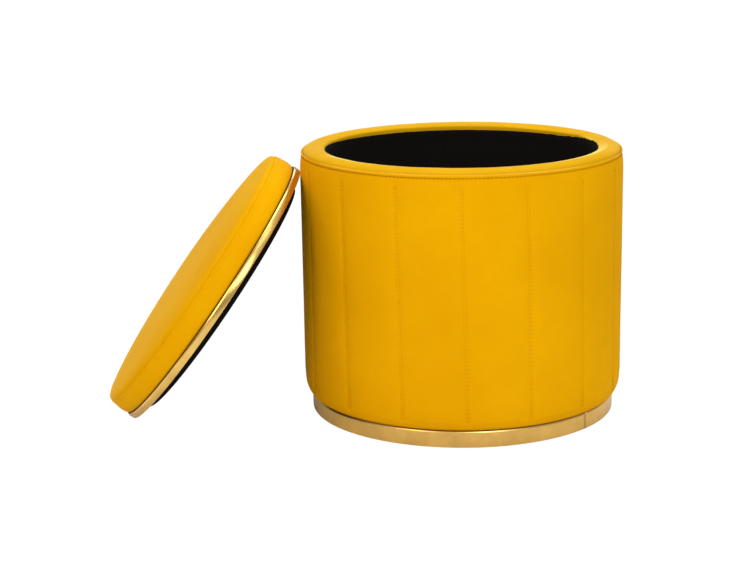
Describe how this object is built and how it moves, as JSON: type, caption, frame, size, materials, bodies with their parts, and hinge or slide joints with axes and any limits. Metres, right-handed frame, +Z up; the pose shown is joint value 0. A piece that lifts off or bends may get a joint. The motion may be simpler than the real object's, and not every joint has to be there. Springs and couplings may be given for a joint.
{
  "type": "round storage ottoman",
  "caption": "Round upholstered storage stool: channelled velvet drum on a metal-edged plinth, lined inside, with a loose cushioned lid leaning on its side.",
  "frame": {"origin": "on the floor under the drum's axis, 2.5 mm below the dust cover's flat underside, where the glides meet the floor", "axes": "+Z up; +X from the leaning lid towards the drum; +Y to the back"},
  "size_m": [0.6496, 0.402, 0.3358],
  "materials": {
    "velvet": "short-pile velvet, mustard yellow",
    "band_metal": "gold-coloured plated steel strip, satin to bright",
    "black_lining": "black non-woven cloth",
    "foam": "open-cell foam",
    "board": "raw plywood and fibreboard",
    "screw_steel": "zinc-plated steel",
    "glide_plastic": "black plastic"
  },
  "bodies": {
    "drum": {"glide_1": "glide_plastic", "glide_2": "glide_plastic", "glide_3": "glide_plastic", "glide_4": "glide_plastic", "dust_cover": "black_lining", "plinth_disc": "board", "plinth_band": "band_metal", "plinth_screw_1": "screw_steel", "plinth_screw_2": "screw_steel", "plinth_screw_3": "screw_steel", "plinth_screw_4": "screw_steel", "drum_bottom": "board", "drum_wall": "board", "top_ring": "board", "side_foam": "foam", "side_cover": "velvet", "rim_foam": "foam", "rim_cover": "velvet", "storage_floor": "black_lining", "lining_wall": "black_lining"},
    "lid_carrier": {"lid_band_pin_1": "band_metal"},
    "lid": {"lid_band": "band_metal", "lid_band_pin_2": "band_metal", "lid_base": "board", "cushion_board": "board", "lid_foam": "foam", "lid_boxing": "velvet", "lid_top_panel": "velvet", "plug_board": "board", "plug_lining": "black_lining", "lid_screw_1": "screw_steel", "lid_screw_2": "screw_steel", "lid_screw_3": "screw_steel", "lid_screw_4": "screw_steel"}
  },
  "joints": [
    {"name": "lid_carry", "type": "hinge", "parent": "drum", "child": "lid_carrier", "pos_m": [-0.21259, 0, 0.34065], "axis": [0, 1, 0], "range_deg": [0, 241.12]},
    {"name": "lid_level", "type": "hinge", "parent": "lid_carrier", "child": "lid", "pos_m": [-0.31527, 0, 0.15449], "axis": [0, 1, 0], "range_deg": [-187.17, 0]}
  ],
  "couplings": [
    {"joint": "lid_level", "follows": "lid_carry", "ratio": -0.77605}
  ]
}
